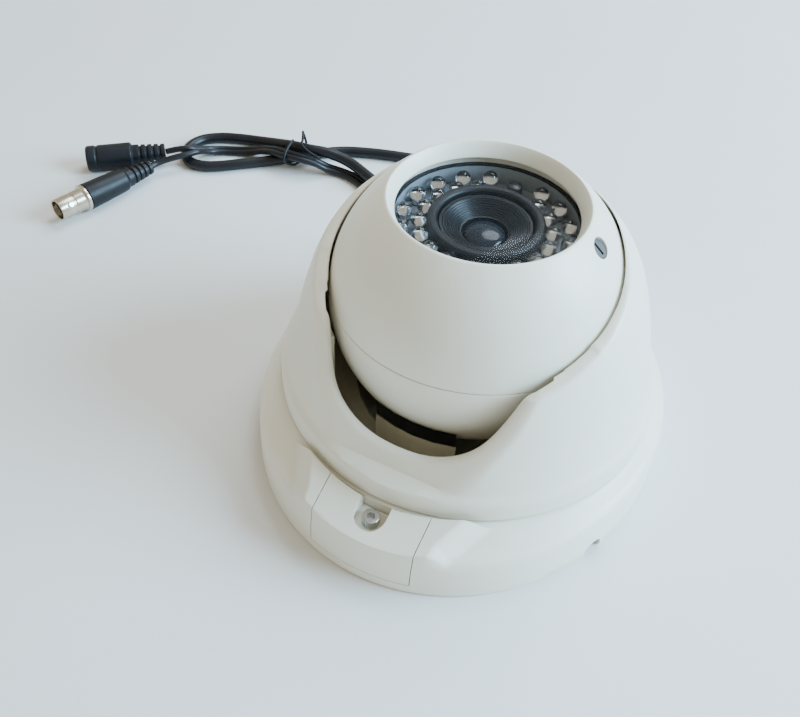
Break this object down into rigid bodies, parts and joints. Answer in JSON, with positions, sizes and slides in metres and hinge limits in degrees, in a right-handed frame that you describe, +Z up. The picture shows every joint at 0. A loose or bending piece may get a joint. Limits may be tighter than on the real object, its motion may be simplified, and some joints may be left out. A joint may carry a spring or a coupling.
{
  "type": "dome cctv camera",
  "caption": "Surface-mount eyeball dome camera: oval base with access door, panning bell cover, tilting ball with infrared LED window, and a tied pigtail cable with power and video jacks.",
  "frame": {"origin": "centre of the oval base on its mounting plane", "axes": "+Z up out of the mounting surface along the pan axis, -Y towards the access door and the way the ball tilts, +X along the tilt axis"},
  "size_m": [0.2871, 0.2138, 0.0935],
  "materials": {
    "ivory_housing": "satin ivory paint on moulded plastic",
    "cream_plastic": "plain moulded cream",
    "black_rubber": "matt black",
    "white_nylon": "natural nylon",
    "steel": "zinc plated",
    "dark_plastic": "dark grey moulding",
    "clear_window": "clear, polished",
    "clear_led": null,
    "grey_plastic": "grey moulding",
    "board": "black solder mask",
    "chip": "black package",
    "black_lens": "black anodised",
    "cable_jacket": "black PVC, slight sheen",
    "nickel": "nickel plated"
  },
  "bodies": {
    "base": {"base_housing": "ivory_housing", "cable_gland": "black_rubber", "pan_retainer": "steel", "retainer_screw_1": "steel", "retainer_screw_2": "steel", "retainer_screw_3": "steel", "main_cable": "cable_jacket", "cable_split": "cable_jacket", "power_tail": "cable_jacket", "video_tail": "cable_jacket", "power_jack_body": "cable_jacket", "power_jack_sleeve": "nickel", "power_jack_pin": "nickel", "video_jack_body": "cable_jacket", "video_jack_shell": "nickel", "video_jack_insulator": "white_nylon", "video_jack_contact": "nickel", "cable_tie": "cable_jacket"},
    "door": {"access_door": "ivory_housing", "door_screw": "steel"},
    "yoke": {"cradle": "cream_plastic", "yoke_cover": "ivory_housing", "cradle_pad_front": "black_rubber", "cradle_pad_rear": "black_rubber", "pivot_bush_right": "white_nylon", "pivot_bush_left": "white_nylon", "cover_screw_1": "steel", "cover_screw_2": "steel", "cover_screw_3": "steel", "cover_screw_4": "steel"},
    "rear_ball": {"rear_shell": "ivory_housing", "seal_ring": "black_rubber", "rear_grommet": "black_rubber"},
    "front_ball": {"front_shell": "ivory_housing", "window_glass": "clear_window", "window_gasket": "black_rubber", "led_holder": "grey_plastic", "led_board": "board", "led_array": "clear_led", "photocell": "chip", "board_screw_1": "steel", "board_screw_2": "steel", "board_screw_3": "steel", "module_post_1": "steel", "module_post_2": "steel", "board_spacer_1": "steel", "board_spacer_2": "steel", "lens_hood": "black_rubber", "lens_barrel": "black_lens", "lens_bezel": "black_lens", "front_element": "clear_window", "lens_mount": "black_lens", "sensor_board": "board", "image_sensor": "chip", "main_board": "board"},
    "focus_ring": {"focus_ring": "black_lens"},
    "zoom_ring": {"zoom_ring": "black_lens"},
    "focus_adjuster": {"focus_adjuster": "dark_plastic"},
    "zoom_adjuster": {"zoom_adjuster": "dark_plastic"}
  },
  "joints": [
    {"name": "pan", "type": "hinge", "parent": "base", "child": "yoke", "pos_m": [0, 0, 0.015], "axis": [0, 0, 1], "range_deg": [-175, 175]},
    {"name": "tilt", "type": "hinge", "parent": "yoke", "child": "rear_ball", "pos_m": [0, 0, 0.057], "axis": [1, 0, 0], "range_deg": [0, 75]},
    {"name": "rotate", "type": "hinge", "parent": "rear_ball", "child": "front_ball", "pos_m": [0, 0, 0.057], "axis": [0, 0, 1], "range_deg": [-90, 90]},
    {"name": "focus", "type": "hinge", "parent": "front_ball", "child": "focus_ring", "pos_m": [0, 0, 0.069], "axis": [0, 0, 1], "range_deg": [-50, 50]},
    {"name": "zoom", "type": "hinge", "parent": "front_ball", "child": "zoom_ring", "pos_m": [0, 0, 0.0625], "axis": [0, 0, 1], "range_deg": [-50, 50]},
    {"name": "focus_screw", "type": "hinge", "parent": "front_ball", "child": "focus_adjuster", "pos_m": [0.03515, 0, 0.0891], "axis": [0.6481, 0, 0.7615], "range_deg": [-360, 360]},
    {"name": "zoom_screw", "type": "hinge", "parent": "front_ball", "child": "zoom_adjuster", "pos_m": [-0.04037, 0, 0.08222], "axis": [-0.7513, 0, 0.66], "range_deg": [-360, 360]},
    {"name": "door_lift", "type": "slide", "parent": "base", "child": "door", "axis": [0, 0, 1], "range_m": [0, 0.02]}
  ],
  "couplings": [
    {"joint": "focus_screw", "follows": "focus", "ratio": -6.7},
    {"joint": "zoom_screw", "follows": "zoom", "ratio": -6.7}
  ]
}
